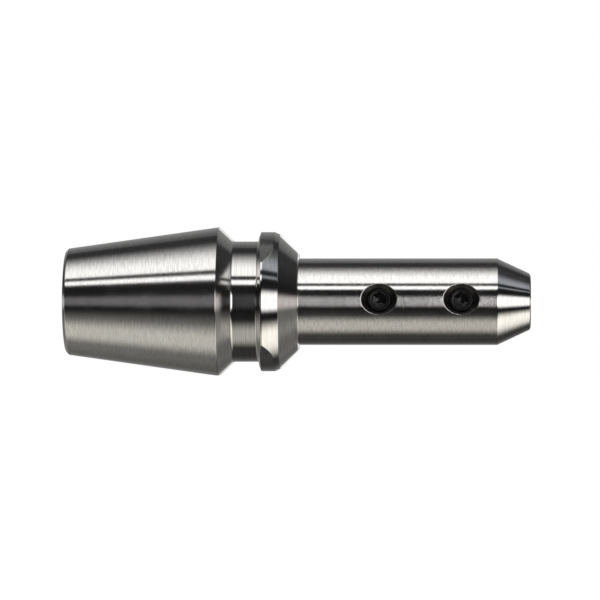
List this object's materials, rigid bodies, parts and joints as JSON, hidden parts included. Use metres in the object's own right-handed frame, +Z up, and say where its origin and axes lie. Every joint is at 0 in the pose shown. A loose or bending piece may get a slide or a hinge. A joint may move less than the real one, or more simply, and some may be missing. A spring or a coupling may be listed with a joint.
{
  "type": "side-lock drill chuck",
  "caption": "Slim tool holder with a short taper shank and grooved collar; set screws in its round nose clamp a small drill's straight shank.",
  "frame": {"origin": "on the holder's axis, at the large end of the taper shank", "axes": "+X along the axis towards the nose, -Y the way the clamp screws face, +Z up"},
  "size_m": [0.053, 0.017, 0.017],
  "materials": {
    "ground_steel": "satin",
    "black_oxide": "satin"
  },
  "bodies": {
    "holder": {"holder_body": "ground_steel"},
    "front_clamp": {"front_clamp_screw": "black_oxide"},
    "rear_clamp": {"rear_clamp_screw": "black_oxide"},
    "stop": {"stop_screw": "black_oxide"}
  },
  "joints": [
    {"name": "front_clamp_travel", "type": "slide", "parent": "holder", "child": "front_clamp", "axis": [0, 1, 0], "range_m": [-0.001, 0.001]},
    {"name": "rear_clamp_travel", "type": "slide", "parent": "holder", "child": "rear_clamp", "axis": [0, 1, 0], "range_m": [-0.001, 0.001]},
    {"name": "stop_travel", "type": "slide", "parent": "holder", "child": "stop", "axis": [1, 0, 0], "range_m": [-0.0056, 0.0014]}
  ]
}
